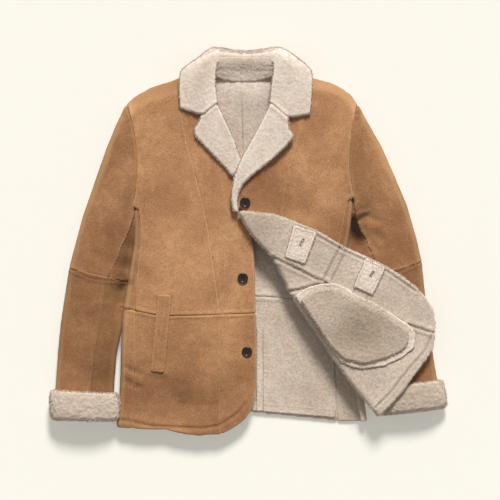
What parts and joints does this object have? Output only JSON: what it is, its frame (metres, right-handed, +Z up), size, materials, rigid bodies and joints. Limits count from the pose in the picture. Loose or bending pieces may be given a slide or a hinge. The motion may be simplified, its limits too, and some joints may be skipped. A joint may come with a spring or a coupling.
{
  "type": "shearling coat",
  "caption": "Tan suede shearling coat laid flat on its back, wool collar, lapels and turned-up cuffs, its left front turned back to show the wool side.",
  "frame": {"origin": "centre of the bounding box, on the underside that the coat lies on", "axes": "+Z up from the surface it lies on, +Y from the hem to the collar, +X towards the wearer's left sleeve"},
  "size_m": [0.8656, 0.8474, 0.0653],
  "materials": {
    "suede_hide": "napped tan suede, matt",
    "wool_pile": "sheared cream wool pile",
    "horn_button": "near-black, softly polished"
  },
  "bodies": {
    "root": {"back_upper_right": "suede_hide", "back_upper_left": "suede_hide", "back_lower_right": "suede_hide", "back_lower_left": "suede_hide", "side_right_upper": "suede_hide", "side_right_lower": "suede_hide", "side_left_upper": "suede_hide", "side_left_lower": "suede_hide", "front_right_side_upper": "suede_hide", "front_right_centre_upper": "suede_hide", "front_right_side_lower": "suede_hide", "front_right_centre_lower": "suede_hide", "front_left_centre_upper": "suede_hide", "front_left_side_upper": "suede_hide", "front_left_side_lower": "suede_hide", "pocket_welt_right": "suede_hide", "sleeve_right_top_upper": "suede_hide", "sleeve_right_under_upper": "suede_hide", "sleeve_right_top_lower": "suede_hide", "sleeve_right_under_lower": "suede_hide", "sleeve_left_top_upper": "suede_hide", "sleeve_left_under_upper": "suede_hide", "sleeve_left_top_lower": "suede_hide", "sleeve_left_under_lower": "suede_hide", "back_vent_edge": "wool_pile", "back_hem_right": "wool_pile", "back_hem_left": "wool_pile", "turned_centre_upper": "wool_pile", "turned_side_upper": "wool_pile", "turned_side_lower": "wool_pile", "turned_centre_lower": "wool_pile", "pocket_bag_under": "wool_pile", "pocket_bag_upper": "wool_pile", "buttonhole_tab_middle": "wool_pile", "buttonhole_tab_bottom": "wool_pile", "collar_leaf": "wool_pile", "collar_stand": "wool_pile", "lapel_right": "wool_pile", "lapel_left": "wool_pile", "cuff_right": "wool_pile", "cuff_left": "wool_pile", "button_top": "horn_button", "button_middle": "horn_button", "button_bottom": "horn_button"}
  },
  "joints": []
}
